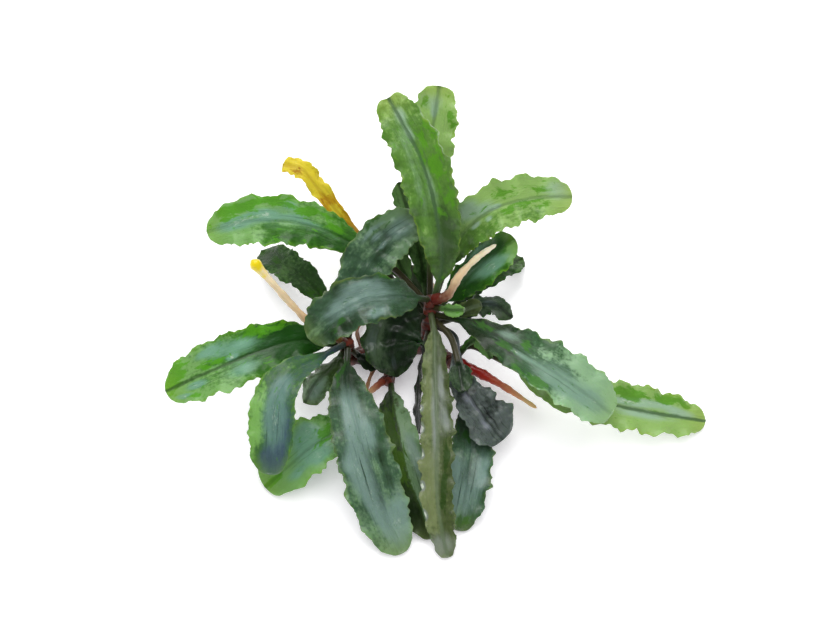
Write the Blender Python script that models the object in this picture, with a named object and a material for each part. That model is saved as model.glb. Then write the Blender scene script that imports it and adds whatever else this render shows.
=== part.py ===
"""Bucephalandra, an aquarium plant, lifted from its stone and laid on a flat surface.

A creeping rhizome lies on the surface and carries four short shoots. Every shoot, leaf, withered
stalk and root is a piece of its own, which starts a small gap away from what it grows on.
Lengths in this file are millimetres; MM turns them into Blender's metres. The origin is on the
flat underside of the rhizome, below the middle shoot, with +Y to the back and +Z up.
"""
import math
from typing import NamedTuple

import bmesh
import bpy
import numpy as np
from mathutils import Vector

MM = 0.001
PLANT_NAME = "bucephalandra"

# Gaps between a piece and what it grows on, and between a leaf and the surface below it.
TOUCH_GAP = 0.3
FLOOR_GAP = 0.05

# Leaf: a round petiole that thins into a flat blade.
PETIOLE_RADIUS = 0.75
BLADE_HALF_THICKNESS = 0.28
THINNING_RATE = 2.5
BLADE_BASE_POWER = 0.55
BLADE_TIP_POWER = 0.38
TIP_WIDTH = 0.2

# Cross-section of a blade: both halves curl up, and the margin waves up, down, in and out.
CURL_POWER = 1.7
WAVE_POWER = 2.5
WAVE_SPACING = 6.3
WAVE_OFFSET = 2.3
SCALLOP_SHARE = 0.5

# Rhizome: shallow rings that fallen leaves left.
SCAR_SPACING = 3.0
SCAR_DEPTH = 0.12

# Fineness of the meshes.
LEAF_SIDES = 8
ROW_SPACING = 2.05
MIN_ROWS = 7
MAX_ROWS = 22
TIP_CROWDING = 1.2
SHOOT_SIDES = 10
SHOOT_ROW_SPACING = 1.5
STALK_POINT_SPACING = 4.1
MIN_STALK_POINTS = 5
STALK_BEVEL = 2
ROOT_BEVEL = 1
CURVE_STEPS = 24
LENGTH_STEPS = 60
HEADING_STEP = 0.01
SMOOTH_ANGLE = math.radians(50)

# Colour, roughness and metallic value of each kind of piece, colours as linear RGB.
FINISHES = {
    "fresh_leaf": ((0.110, 0.270, 0.035), 0.42, 0.0),
    "grey_leaf": ((0.085, 0.150, 0.085), 0.36, 0.0),
    "dark_leaf": ((0.022, 0.045, 0.032), 0.32, 0.0),
    "olive_leaf": ((0.120, 0.160, 0.045), 0.42, 0.0),
    "withered": ((0.620, 0.430, 0.030), 0.50, 0.0),
    "cut_stalk": ((0.560, 0.360, 0.190), 0.45, 0.0),
    "red_stalk": ((0.330, 0.050, 0.030), 0.40, 0.0),
    "rhizome": ((0.150, 0.045, 0.025), 0.50, 0.0),
    "root": ((0.360, 0.190, 0.110), 0.60, 0.0),
}


class Shoot(NamedTuple):
    """A length of rhizome: points of its axis, and its radius at the start and at the end."""
    name: str
    start_radius: float
    end_radius: float
    axis: list
    face: tuple = (0, 0, 1)


class Leaf(NamedTuple):
    """A leaf with its petiole.

    seat is where on its shoot it grows, from 0 at the start to 1. midrib holds points of the
    petiole's and the midrib's line after the seat. face is where the upper side looks.
    petiole is the petiole's share of that line, curl is the margin's rise as a share of the
    half width, wave is the waves' height and phase shifts them along the margin.
    """
    name: str
    finish: str
    shoot: str
    seat: float
    half_width: float
    midrib: list
    face: tuple = (0, -1, 3)
    petiole: float = 0.2
    curl: float = 0.25
    wave: float = 0.7
    phase: float = 0.0
    base_power: float = BLADE_BASE_POWER
    tip_power: float = BLADE_TIP_POWER


class Stalk(NamedTuple):
    """A leafless stalk or a root that tapers from its seat on a shoot along its route."""
    name: str
    finish: str
    shoot: str
    seat: float
    start_radius: float
    end_radius: float
    route: list
    bevel: int = STALK_BEVEL


SHOOTS = [
    Shoot("rhizome", start_radius=1.9, end_radius=2.3,
          axis=[(-21, -5, 1.3), (-14, -3.5, 1.3), (-8, -2, 1.3), (1.5, 0, 1.4)]),
    Shoot("middle_shoot", start_radius=2.0, end_radius=1.4, face=(0, 1, 0),
          axis=[(-0.5, -0.6, 4.4), (-0.5, 0.3, 8), (-0.3, 2.3, 15.5)]),
    Shoot("left_shoot", start_radius=1.7, end_radius=1.3, face=(0, 1, 0),
          axis=[(-19, -4.5, 3.9), (-18.8, -5.4, 7), (-18.6, -6.5, 11)]),
    Shoot("front_shoot", start_radius=1.5, end_radius=1.2,
          axis=[(-9, -5.2, 1.3), (-9.4, -9, 2), (-9.8, -13, 3.6)]),
    Shoot("right_shoot", start_radius=1.7, end_radius=1.3,
          axis=[(2.5, -4.4, 1.7), (4, -6.8, 3.2), (5.5, -10, 6)]),
]

LEAVES = [
    Leaf("leaf_back_tall", "fresh_leaf", "middle_shoot", seat=0.95, half_width=5.6, petiole=0.08,
         face=(0, -1, 1),
         midrib=[(2, 5.5, 22), (1.5, 8.5, 31), (-2, 18, 42), (-10, 33.5, 47.5)]),
    Leaf("leaf_back_second", "fresh_leaf", "middle_shoot", seat=0.6, half_width=4.9, petiole=0.25,
         phase=0.6, base_power=0.8, tip_power=0.3, face=(0, -1, 1),
         midrib=[(-0.5, 10.5, 15.5), (-1, 17, 27), (-0.5, 25.5, 38), (1.5, 37.5, 45.5)]),
    Leaf("leaf_back_right", "fresh_leaf", "middle_shoot", seat=0.72, half_width=5.4, wave=0.8,
         face=(0, -1, 2),
         midrib=[(2.8, 9, 16), (6, 12, 24), (12.5, 14, 31), (21, 16, 33), (30.5, 16.5, 33)]),
    Leaf("leaf_back_small", "dark_leaf", "middle_shoot", seat=0.36, half_width=2.8, petiole=0.2,
         face=(0, -1, 2),
         midrib=[(-2, 10.5, 13), (-4, 18.5, 17.5), (-7.5, 30, 21)]),
    Leaf("leaf_back_lowest", "olive_leaf", "middle_shoot", seat=0.2, half_width=3.0, petiole=0.12,
         face=(0, -1, 2),
         midrib=[(-2.5, 10, 6.5), (-5, 16.5, 7.5)]),
    Leaf("leaf_behind_left", "dark_leaf", "middle_shoot", seat=0.6, half_width=3.2, petiole=0.3,
         face=(0, -1, 2),
         midrib=[(-5.5, 8.5, 13), (-10, 16.5, 16.5), (-14.5, 22, 16.5)]),
    Leaf("leaf_far_left_upper", "fresh_leaf", "middle_shoot", seat=0.78, half_width=5.6,
         petiole=0.34, face=(0, -1, 2),
         midrib=[(-9, 10, 16), (-18, 14.5, 19), (-28, 18, 21), (-40, 19, 21), (-50.5, 18, 18.5)]),
    Leaf("leaf_centre_broad", "grey_leaf", "middle_shoot", seat=0.97, half_width=5.8, petiole=0.1,
         face=(-1, -2, 5),
         midrib=[(-7, -1.5, 20.5), (-14.5, -3.5, 22), (-21.5, -6, 19.5), (-27, -8.5, 15)]),
    Leaf("leaf_centre_crumpled", "dark_leaf", "middle_shoot", seat=0.55, half_width=6.2,
         petiole=0.08, curl=0.15, wave=0.9, base_power=0.4, tip_power=0.6,
         midrib=[(-5, -1.5, 11.5), (-7.5, -4.5, 10.5), (-8, -8.5, 9.5), (-7.5, -12, 5)]),
    Leaf("leaf_front_long", "olive_leaf", "middle_shoot", seat=0.66, half_width=3.6, petiole=0.08,
         curl=0.3, base_power=0.4, tip_power=0.3, face=(0, -1, 4),
         midrib=[(0.5, -6, 12), (0.5, -14, 11.5), (1, -29, 10), (1, -44, 6), (3, -55, 0.8)]),
    Leaf("leaf_front_edge_on", "dark_leaf", "middle_shoot", seat=0.2, half_width=2.0, curl=0.1,
         wave=0.3, face=(-3, -1, 1),
         midrib=[(-2.3, -9, 7), (-3, -17.5, 6), (-3, -25, 2)]),
    Leaf("leaf_right_upper", "fresh_leaf", "middle_shoot", seat=0.55, half_width=4.3, petiole=0.15,
         curl=0.5, face=(1, -1, 2),
         midrib=[(7, 7.5, 14), (12, 11, 17), (18.5, 15.5, 19)]),
    Leaf("leaf_back_floor", "dark_leaf", "middle_shoot", seat=0.12, half_width=3.0, petiole=0.25,
         curl=0.3, wave=0.8, face=(1, 0, 3),
         midrib=[(9.5, 11.5, 6.5), (15.5, 16.5, 6), (21, 23.5, 0.8)]),
    Leaf("leaf_right_small", "dark_leaf", "middle_shoot", seat=0.28, half_width=2.3, curl=-0.3,
         midrib=[(6, 2.5, 7.5), (10, 4, 9.5), (14, 5, 8.5), (18, 4, 5)]),
    Leaf("leaf_right_long", "grey_leaf", "middle_shoot", seat=0.6, half_width=6.2, petiole=0.12,
         base_power=0.75, tip_power=0.3, face=(1, -1, 4),
         midrib=[(8, -4, 14), (16, -11.5, 17), (28.5, -20, 16), (38.5, -26, 11.5)]),
    Leaf("leaf_bud", "fresh_leaf", "middle_shoot", seat=0.78, half_width=1.5, petiole=0.3,
         curl=0.5, wave=0.1, face=(0, -1, 1),
         midrib=[(4, -1, 15), (7, -2, 16.5)]),
    Leaf("leaf_right_young", "olive_leaf", "middle_shoot", seat=0.46, half_width=1.9, petiole=0.3,
         curl=0.2, wave=0.2, face=(0, -1, 2),
         midrib=[(6, 2, 10), (11, 3, 11.5)]),
    Leaf("leaf_far_right", "fresh_leaf", "right_shoot", seat=0.35, half_width=5.3, petiole=0.3,
         wave=0.9, face=(0, -1, 4),
         midrib=[(8.5, -4.5, 6), (15, -9.5, 8), (28, -18.5, 9), (45, -21.5, 6), (60, -21.5, 1.5)]),
    Leaf("leaf_front_purple", "dark_leaf", "middle_shoot", seat=0.35, half_width=5.3,
         petiole=0.08, curl=0.3, wave=0.9, base_power=1.8, tip_power=0.35, face=(1, -1, 3),
         midrib=[(5, -4.5, 9.5), (6, -10.5, 10.5), (7.5, -16.5, 10.5), (11, -22, 9), (16, -28, 5)]),
    Leaf("leaf_front_right", "grey_leaf", "right_shoot", seat=0.75, half_width=5.0, petiole=0.25,
         face=(0, -1, 4),
         midrib=[(6.5, -16, 4), (8.5, -27, 4.5), (7.5, -38, 4), (5.5, -48.5, 0.8)]),
    Leaf("leaf_right_cupped", "dark_leaf", "middle_shoot", seat=0.5, half_width=2.5, petiole=0.7,
         curl=0.5, wave=0.2, base_power=0.5, tip_power=0.45, face=(0, -1, 2),
         midrib=[(4, -6.5, 12.5), (5.5, -14, 14), (6.5, -21.5, 13.5)]),
    Leaf("leaf_right_curled", "fresh_leaf", "right_shoot", seat=0.6, half_width=1.4, petiole=0.25,
         curl=-0.5, wave=0.2, face=(1, -1, 2),
         midrib=[(9, -5, 9), (11.5, -7.5, 10.5), (13, -10, 9)]),
    Leaf("leaf_far_left_lower", "fresh_leaf", "left_shoot", seat=0.5, half_width=6.1,
         petiole=0.1,
         midrib=[(-29, -7.5, 12.5), (-37.5, -11.5, 14.5), (-47, -16, 14), (-58, -18.5, 9)]),
    Leaf("leaf_left_upright", "grey_leaf", "left_shoot", seat=0.95, half_width=6.0, petiole=0.12,
         face=(0, -1, 2),
         midrib=[(-17, 3, 16), (-14.5, 9.5, 19.5), (-10.5, 14, 22), (-5.5, 16.5, 23.5),
                 (-3, 17.5, 23.5)]),
    Leaf("leaf_left_back_floor", "dark_leaf", "left_shoot", seat=0.35, half_width=3.7,
         petiole=0.25,
         midrib=[(-24, 5, 9), (-29, 12, 9), (-35, 19, 6), (-39.5, 25.5, 0.8)]),
    Leaf("leaf_left_arching", "fresh_leaf", "left_shoot", seat=0.9, half_width=5.2, petiole=0.1,
         wave=0.25, base_power=0.9, face=(-1, -1, 4),
         midrib=[(-25, -12.5, 13), (-30, -18, 16), (-33.5, -25, 16), (-34, -33.5, 13),
                 (-34.5, -39.5, 9)]),
    Leaf("leaf_left_floor", "fresh_leaf", "left_shoot", seat=0.2, half_width=6.6, petiole=0.35,
         face=(0, 0, 1),
         midrib=[(-19, -17.5, 5), (-20.5, -26, 6), (-27.5, -31.5, 5), (-36, -38, 0.8)]),
    Leaf("leaf_left_folded", "olive_leaf", "left_shoot", seat=0.5, half_width=3.4, petiole=0.15,
         curl=-0.5, face=(-1, -1, 3),
         midrib=[(-22, -12, 9), (-25.5, -16, 8.5), (-28, -18.5, 4.5)]),
    Leaf("leaf_front_left_long", "grey_leaf", "left_shoot", seat=0.8, half_width=6.2, petiole=0.1,
         face=(0, -1, 4),
         midrib=[(-18.5, -18, 11), (-16.5, -28.5, 13), (-13.5, -39, 10), (-10, -47.5, 4),
                 (-6.5, -54, 0.8)]),
    Leaf("leaf_left_inner", "dark_leaf", "left_shoot", seat=0.4, half_width=1.7, petiole=0.3,
         curl=0.3, wave=0.2, face=(0, -1, 2),
         midrib=[(-15, -8.5, 6.5), (-12, -9.5, 5)]),
    Leaf("leaf_front_olive", "olive_leaf", "front_shoot", seat=0.95, half_width=4.4, petiole=0.05,
         face=(0, -1, 4),
         midrib=[(-8.5, -22.5, 6), (-6.5, -32, 7), (-3.5, -41.5, 4), (-0.5, -50.5, 0.8)]),
]

WITHERED_LEAVES = [
    Leaf("withered_leaf", "withered", "middle_shoot", seat=0.3, half_width=2.3, petiole=0.5,
         curl=0.25, wave=0.5, tip_power=0.2, face=(1, -1, 2),
         midrib=[(-6, 5.5, 9), (-13, 18, 11), (-19, 24, 13), (-24.5, 29, 17), (-29.5, 34, 20.5),
                 (-34, 36, 20)]),
]

STALKS = [
    Stalk("cut_stalk_left", "cut_stalk", "left_shoot", seat=0.75, start_radius=0.85,
          end_radius=0.8,
          route=[(-26, -3.5, 12), (-31, 1, 14), (-35.5, 5, 17), (-40, 9, 20)]),
    Stalk("cut_stalk_middle", "cut_stalk", "middle_shoot", seat=0.95, start_radius=1.2,
          end_radius=0.5,
          route=[(3.5, 1, 18), (6, 4, 21), (10, 7.5, 23), (14, 9.5, 25)]),
    Stalk("cut_stalk_back", "cut_stalk", "middle_shoot", seat=0.1, start_radius=0.7,
          end_radius=0.6,
          route=[(-6, 5, 6.5), (-10.5, 10, 9)]),
    Stalk("red_stalk_right", "red_stalk", "right_shoot", seat=0.7, start_radius=1.4,
          end_radius=0.5,
          route=[(10.5, -11.5, 6.5), (16, -16, 8), (23, -21.5, 8)]),
    Stalk("red_stalk_front", "red_stalk", "front_shoot", seat=0.8, start_radius=0.9,
          end_radius=0.6,
          route=[(-12, -13.5, 3.8), (-15, -16, 3)]),
]

ROOTS = [
    Stalk("root_back_left", "root", "rhizome", seat=0.25, start_radius=0.5, end_radius=0.35,
          bevel=ROOT_BEVEL,
          route=[(-17, 3, 1.2), (-15, 9, 0.6), (-18, 14, 0.6)]),
    Stalk("root_back_middle", "root", "rhizome", seat=0.55, start_radius=0.55, end_radius=0.35,
          bevel=ROOT_BEVEL,
          route=[(-9, 4, 1.2), (-11, 9, 0.6), (-7, 14, 0.6)]),
    Stalk("root_back_right", "root", "rhizome", seat=0.85, start_radius=0.5, end_radius=0.35,
          bevel=ROOT_BEVEL,
          route=[(-1, 6, 1.2), (2, 11, 0.6), (0, 17, 0.6)]),
    Stalk("root_front_left", "root", "rhizome", seat=0.4, start_radius=0.5, end_radius=0.35,
          bevel=ROOT_BEVEL,
          route=[(-14, -10, 1), (-15, -16, 0.6)]),
]


def clear_scene():
    """Remove what the start-up scene holds."""
    for item in list(bpy.data.objects):
        bpy.data.objects.remove(item, do_unlink=True)


def new_collection(name):
    """Add a collection to the scene."""
    collection = bpy.data.collections.new(name)
    bpy.context.scene.collection.children.link(collection)
    return collection


def finish_material(piece_name, finish):
    """One plain material for a piece, in the colour of its kind."""
    colour, roughness, metallic = FINISHES[finish]
    material = bpy.data.materials.new(piece_name + "_" + finish)
    material.diffuse_color = (*colour, 1.0)
    material.use_nodes = True
    shader = material.node_tree.nodes["Principled BSDF"]
    shader.inputs["Base Color"].default_value = (*colour, 1.0)
    shader.inputs["Roughness"].default_value = roughness
    shader.inputs["Metallic"].default_value = metallic
    return material


def add_piece(name, finish, data, start, collection):
    """Put a mesh or curve in the scene, with its origin where the piece begins to grow."""
    data.materials.append(finish_material(name, finish))
    piece = bpy.data.objects.new(name, data)
    piece.location = Vector(start * MM)
    collection.objects.link(piece)


def unit(vectors):
    """Scale a vector, or each row of an array of them, to length one."""
    vectors = np.asarray(vectors, float)
    return vectors / np.linalg.norm(vectors, axis=-1, keepdims=True)


def smooth_line(points, fractions):
    """Points of a smooth curve through the given points, at fractions of its length."""
    points = np.asarray(points, float)
    padded = np.vstack([2 * points[0] - points[1], points, 2 * points[-1] - points[-2]])
    steps = np.linspace(0, 1, CURVE_STEPS, endpoint=False)[:, None]
    dense = []
    for before, start, end, after in zip(padded, padded[1:], padded[2:], padded[3:]):
        lead = (end - before) / 2
        leave = (after - start) / 2
        dense.append(start + lead * steps + (3 * (end - start) - 2 * lead - leave) * steps ** 2
                     + (2 * (start - end) + lead + leave) * steps ** 3)
    dense = np.vstack(dense + [points[-1:]])
    travelled = np.concatenate([[0], np.cumsum(np.linalg.norm(np.diff(dense, axis=0), axis=1))])
    wanted = np.asarray(fractions) * travelled[-1]
    return np.stack([np.interp(wanted, travelled, dense[:, axis]) for axis in range(3)], -1)


def line_length(points):
    """Length of the smooth curve through the given points."""
    curve = smooth_line(points, np.linspace(0, 1, LENGTH_STEPS))
    return np.linalg.norm(np.diff(curve, axis=0), axis=1).sum()


def headings_along(points, fractions):
    """Direction of travel along the smooth curve through the points, at fractions of it."""
    ahead = smooth_line(points, np.clip(np.asarray(fractions) + HEADING_STEP, 0, 1))
    behind = smooth_line(points, np.clip(np.asarray(fractions) - HEADING_STEP, 0, 1))
    return unit(ahead - behind)


def frames_along(points, fractions, face):
    """Centre, sideways and upward directions along a curve whose upper side looks to face."""
    forward = headings_along(points, fractions)
    side = unit(np.cross(face, forward))
    return smooth_line(points, fractions), side, np.cross(forward, side)


def seat_on(shoot, seat, first_guide, radius):
    """Start of a piece on the surface of a shoot, on the side of its first guide point."""
    at = smooth_line(shoot.axis, [seat])[0]
    axis = headings_along(shoot.axis, [seat])[0]
    towards = np.asarray(first_guide, float) - at
    outward = unit(towards - towards.dot(axis) * axis)
    shoot_radius = shoot.start_radius + (shoot.end_radius - shoot.start_radius) * seat
    slant = abs(unit(towards).dot(axis))
    return at + outward * (shoot_radius + TOUCH_GAP + radius * slant)


def bent_rod(name, sides, rows, place, start):
    """A closed rod cut into rows, whose points place(across, around, row) puts where they go."""
    rod = bmesh.new()
    bmesh.ops.create_cone(rod, cap_ends=True, segments=sides, radius1=1, radius2=1, depth=rows)
    lengthways = [edge for edge in rod.edges
                  if abs(edge.verts[0].co.z - edge.verts[1].co.z) > rows / 2]
    bmesh.ops.subdivide_edges(rod, edges=lengthways, cuts=rows - 1, use_grid_fill=True)
    spots = [(*vertex.co.xy, round(vertex.co.z + rows / 2)) for vertex in rod.verts]
    for vertex, (across, _, row) in zip(rod.verts, spots):
        vertex.co = Vector((place(across, 0, row) - start) * MM)
    # Both sides of a blade are cut along the same diagonals while they lie on its middle surface,
    # so that its thin margins never pass through themselves.
    bmesh.ops.triangulate(rod, faces=rod.faces, quad_method="SHORT_EDGE")
    for vertex, (across, around, row) in zip(rod.verts, spots):
        vertex.co = Vector((place(across, around, row) - start) * MM)
    mesh = bpy.data.meshes.new(name)
    rod.to_mesh(mesh)
    rod.free()
    mesh.shade_smooth()
    mesh.set_sharp_from_angle(angle=SMOOTH_ANGLE)
    return mesh


def build_shoot(shoot, collection):
    """A length of rhizome with shallow ring scars, flattened where it lies on the surface."""
    length = line_length(shoot.axis)
    rows = round(length / SHOOT_ROW_SPACING)
    fractions = np.linspace(0, 1, rows + 1)
    centre, side, up = frames_along(shoot.axis, fractions, shoot.face)
    radius = shoot.start_radius + (shoot.end_radius - shoot.start_radius) * fractions
    radius -= SCAR_DEPTH * (1 - np.cos(2 * math.pi * fractions * length / SCAR_SPACING))

    def place(across, around, row):
        point = centre[row] + radius[row] * (across * side[row] + around * up[row])
        point[2] = max(point[2], 0.0)
        return point

    mesh = bent_rod(shoot.name, SHOOT_SIDES, rows, place, centre[0])
    add_piece(shoot.name, "rhizome", mesh, centre[0], collection)


def blade_profile(along_blade, base_power, tip_power):
    """Share of the full half width along a blade, from 0 at its base to 1 where it is widest."""
    inner = np.clip(along_blade, 0, 1)
    widest = base_power / (base_power + tip_power)
    tallest = widest ** base_power * (1 - widest) ** tip_power
    return inner ** base_power * (1 - inner) ** tip_power / tallest


def build_leaf(leaf, shoots, collection):
    """A petiole that widens into a thin blade with a curled section and a waved margin."""
    start = seat_on(shoots[leaf.shoot], leaf.seat, leaf.midrib[0], PETIOLE_RADIUS)
    line = [start, *leaf.midrib]
    length = line_length(line)
    rows = int(np.clip(round(length / ROW_SPACING), MIN_ROWS, MAX_ROWS))
    fractions = 1 - (1 - np.linspace(0, 1, rows + 1)) ** TIP_CROWDING
    centre, side, up = frames_along(line, fractions, leaf.face)
    along_blade = (fractions - leaf.petiole) / (1 - leaf.petiole)
    share = blade_profile(along_blade, leaf.base_power, leaf.tip_power)
    share[-1] = TIP_WIDTH
    half_width = np.maximum(share * leaf.half_width, PETIOLE_RADIUS * (1 - share / 2))
    half_width[-1] = TIP_WIDTH * leaf.half_width
    thinning = np.clip(share * THINNING_RATE, 0, 1)
    half_thickness = PETIOLE_RADIUS + (BLADE_HALF_THICKNESS - PETIOLE_RADIUS) * thinning
    waves = 2 * math.pi * fractions * length / WAVE_SPACING

    def place(across, around, row):
        swing = waves[row] + leaf.phase + (WAVE_OFFSET if across > 0 else 0)
        reach = abs(across) ** WAVE_POWER * share[row]
        widen = 1 + SCALLOP_SHARE * leaf.wave / leaf.half_width * math.cos(swing) * reach
        lift = leaf.curl * half_width[row] * abs(across) ** CURL_POWER * share[row]
        lift += leaf.wave * reach * math.sin(swing)
        point = centre[row] + side[row] * (across * half_width[row] * widen) + up[row] * lift
        point[2] = max(point[2], half_thickness[row] + FLOOR_GAP)
        return point + up[row] * (around * half_thickness[row])

    mesh = bent_rod(leaf.name, LEAF_SIDES, rows, place, start)
    add_piece(leaf.name, leaf.finish, mesh, start, collection)


def build_stalk(stalk, shoots, collection):
    """A round tapering stalk or root: a curve along its route, with thickness and closed ends."""
    start = seat_on(shoots[stalk.shoot], stalk.seat, stalk.route[0], stalk.start_radius)
    line = [start, *stalk.route]
    count = max(MIN_STALK_POINTS, 1 + round(line_length(line) / STALK_POINT_SPACING))
    fractions = np.linspace(0, 1, count)
    curve = bpy.data.curves.new(stalk.name, "CURVE")
    curve.dimensions = "3D"
    curve.bevel_depth = MM
    curve.bevel_resolution = stalk.bevel
    curve.use_fill_caps = True
    spline = curve.splines.new("POLY")
    spline.points.add(count - 1)
    centres = (smooth_line(line, fractions) - start) * MM
    radii = stalk.start_radius + (stalk.end_radius - stalk.start_radius) * fractions
    for point, centre, radius in zip(spline.points, centres, radii):
        point.co = (*centre, 1.0)
        point.radius = radius
    add_piece(stalk.name, stalk.finish, curve, start, collection)


clear_scene()
plant = new_collection(PLANT_NAME)
shoots_by_name = {shoot.name: shoot for shoot in SHOOTS}
for shoot_row in SHOOTS:
    build_shoot(shoot_row, plant)
for leaf_row in LEAVES + WITHERED_LEAVES:
    build_leaf(leaf_row, shoots_by_name, plant)
for stalk_row in STALKS + ROOTS:
    build_stalk(stalk_row, shoots_by_name, plant)
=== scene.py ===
import math

import bmesh
import bpy
import numpy as np
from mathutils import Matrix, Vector, noise


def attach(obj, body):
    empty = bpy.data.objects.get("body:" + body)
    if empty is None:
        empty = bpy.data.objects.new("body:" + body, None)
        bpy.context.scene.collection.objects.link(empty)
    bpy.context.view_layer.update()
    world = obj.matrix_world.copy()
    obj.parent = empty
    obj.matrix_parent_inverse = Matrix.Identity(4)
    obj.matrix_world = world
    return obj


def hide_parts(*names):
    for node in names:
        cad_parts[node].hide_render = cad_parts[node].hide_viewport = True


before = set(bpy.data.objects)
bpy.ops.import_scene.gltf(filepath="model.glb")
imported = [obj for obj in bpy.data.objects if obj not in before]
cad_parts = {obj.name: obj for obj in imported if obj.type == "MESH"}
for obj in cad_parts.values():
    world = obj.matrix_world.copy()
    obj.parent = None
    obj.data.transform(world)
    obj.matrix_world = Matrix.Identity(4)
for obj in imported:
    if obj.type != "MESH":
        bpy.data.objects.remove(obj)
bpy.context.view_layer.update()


# Camera, floor and light. The plant lies loose on a plain white surface, in soft even light from
# large lamps, and is looked down on from the front. None of this is part of the plant.
MM = 0.001
LOOK_DOWN = math.radians(55)
CAMERA_DISTANCE = 450 * MM
AIM = Vector((-2.7, 0, 11.6)) * MM
FOCAL_MM = 86.8
SENSOR_MM = 36
FLOOR_SIZE = 3.0
FLOOR_DROP = 0.03 * MM


def linear(hex_colour):
    """An sRGB hex colour, such as 4a8a2a, as linear red, green, blue and alpha."""
    shares = [int(hex_colour[place:place + 2], 16) / 255 for place in (0, 2, 4)]
    return (*[s / 12.92 if s <= 0.04045 else ((s + 0.055) / 1.055) ** 2.4 for s in shares], 1.0)


def set_inputs(tree, node, inputs):
    """Give each socket of a node, by its name or number, its value or what it reads.

    It reads an output, or a node's first output that is in use.
    """
    for socket, value in inputs.items():
        if isinstance(value, bpy.types.Node):
            value = next(output for output in value.outputs if output.enabled)
        if isinstance(value, bpy.types.NodeSocket):
            tree.links.new(value, node.inputs[socket])
        else:
            node.inputs[socket].default_value = value


def add_node(tree, kind, inputs=None, **settings):
    """Add a node with the given inputs and settings."""
    node = tree.nodes.new("ShaderNode" + kind)
    for setting, value in settings.items():
        setattr(node, setting, value)
    set_inputs(tree, node, inputs or {})
    return node


def new_material(name):
    """An empty material with its Principled shader: the material, its nodes and the shader."""
    material = bpy.data.materials.new(name)
    material.use_nodes = True
    return material, material.node_tree, material.node_tree.nodes["Principled BSDF"]


bpy.ops.object.select_all(action="DESELECT")
away = Vector((0, -math.cos(LOOK_DOWN), math.sin(LOOK_DOWN)))
bpy.ops.object.camera_add(location=AIM + away * CAMERA_DISTANCE,
                          rotation=(math.pi / 2 - LOOK_DOWN, 0, 0))
camera = bpy.context.object
camera.data.lens = FOCAL_MM
camera.data.sensor_width = SENSOR_MM
bpy.context.scene.camera = camera
bpy.context.scene.view_settings.view_transform = "Standard"

# Matt white card: an even near-white that only shows the plant's soft shadow.
card, tree, shader = new_material("matt_white_card")
set_inputs(tree, shader, {"Base Color": linear("f4f3f4"), "Emission Color": linear("fbf8ff"),
                          "Emission Strength": 0.3, "Roughness": 0.9, "Specular IOR Level": 0.1})
bpy.ops.mesh.primitive_plane_add(size=FLOOR_SIZE, location=(0, 0, -FLOOR_DROP))
floor = bpy.context.object
floor.name = "white_card_floor"
floor.data.materials.append(card)

# The white room lights the plant but isn't mirrored in its wet skin: only the lamp behind it is.
world = bpy.data.worlds.new("white_room")
world.use_nodes = True
set_inputs(world.node_tree, world.node_tree.nodes["Background"],
           {"Color": linear("ffffff"), "Strength": 0.45})
world.cycles_visibility.glossy = False
bpy.context.scene.world = world

# Each lamp's name, place and size in metres, watts, and whether the wet skin mirrors it.
LAMPS = [
    ("lamp_behind", (-0.12, 0.45, 0.62), 0.6, 4.0, True),
    ("lamp_above", (0.05, -0.05, 0.85), 0.7, 3.2, False),
    ("lamp_front_left", (-0.55, -0.45, 0.5), 0.45, 1.6, False),
    ("lamp_front_right", (0.6, -0.4, 0.45), 0.45, 1.6, False),
]
for lamp_name, place, size, watts, mirrored in LAMPS:
    heading = (AIM - Vector(place)).to_track_quat("-Z", "Y").to_euler()
    bpy.ops.object.light_add(type="AREA", location=place, rotation=heading)
    lamp = bpy.context.object
    lamp.name = lamp_name
    lamp.data.size = size
    lamp.data.energy = watts
    lamp.visible_glossy = mirrored


# Rhizome and its four shoots: a creeping woody stem, red-brown and knobbly, ringed by the scars
# of fallen leaves. It is one grown piece, so each shoot starts inside the stem it comes from.
STEM_SIDES = 28
STEM_ROWS = 56
RING_SPACING = 2.1
RING_DEPTH = 0.16
RING_SHARPNESS = 6
KNOB_HEIGHT = 0.22
END_SQUARENESS = 24
SHOOT_REACH_IN = 1.6
CURVE_STEPS = 48
LENGTH_STEPS = 60
HEADING_STEP = 0.01

# Each stem's name, radius at its start and at its end, the way its upper side looks, and its axis.
STEMS = [
    ("rhizome", 1.9, 2.3, (0, 0, 1),
     [(-21, -5, 1.3), (-14, -3.5, 1.3), (-8, -2, 1.3), (1.5, 0, 1.4)]),
    ("middle_shoot", 2.0, 1.4, (0, 1, 0), [(-0.5, -0.6, 4.4), (-0.5, 0.3, 8), (-0.3, 2.3, 15.5)]),
    ("left_shoot", 1.7, 1.3, (0, 1, 0),
     [(-19, -4.5, 3.9), (-18.8, -5.4, 7), (-18.6, -6.5, 11)]),
    ("front_shoot", 1.5, 1.2, (0, 0, 1), [(-9, -5.2, 1.3), (-9.4, -9, 2), (-9.8, -13, 3.6)]),
    ("right_shoot", 1.7, 1.3, (0, 0, 1), [(2.5, -4.4, 1.7), (4, -6.8, 3.2), (5.5, -10, 6)]),
]


def unit(vectors):
    """Scale a vector, or each row of an array of them, to length one."""
    vectors = np.asarray(vectors, float)
    return vectors / np.linalg.norm(vectors, axis=-1, keepdims=True)


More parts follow.
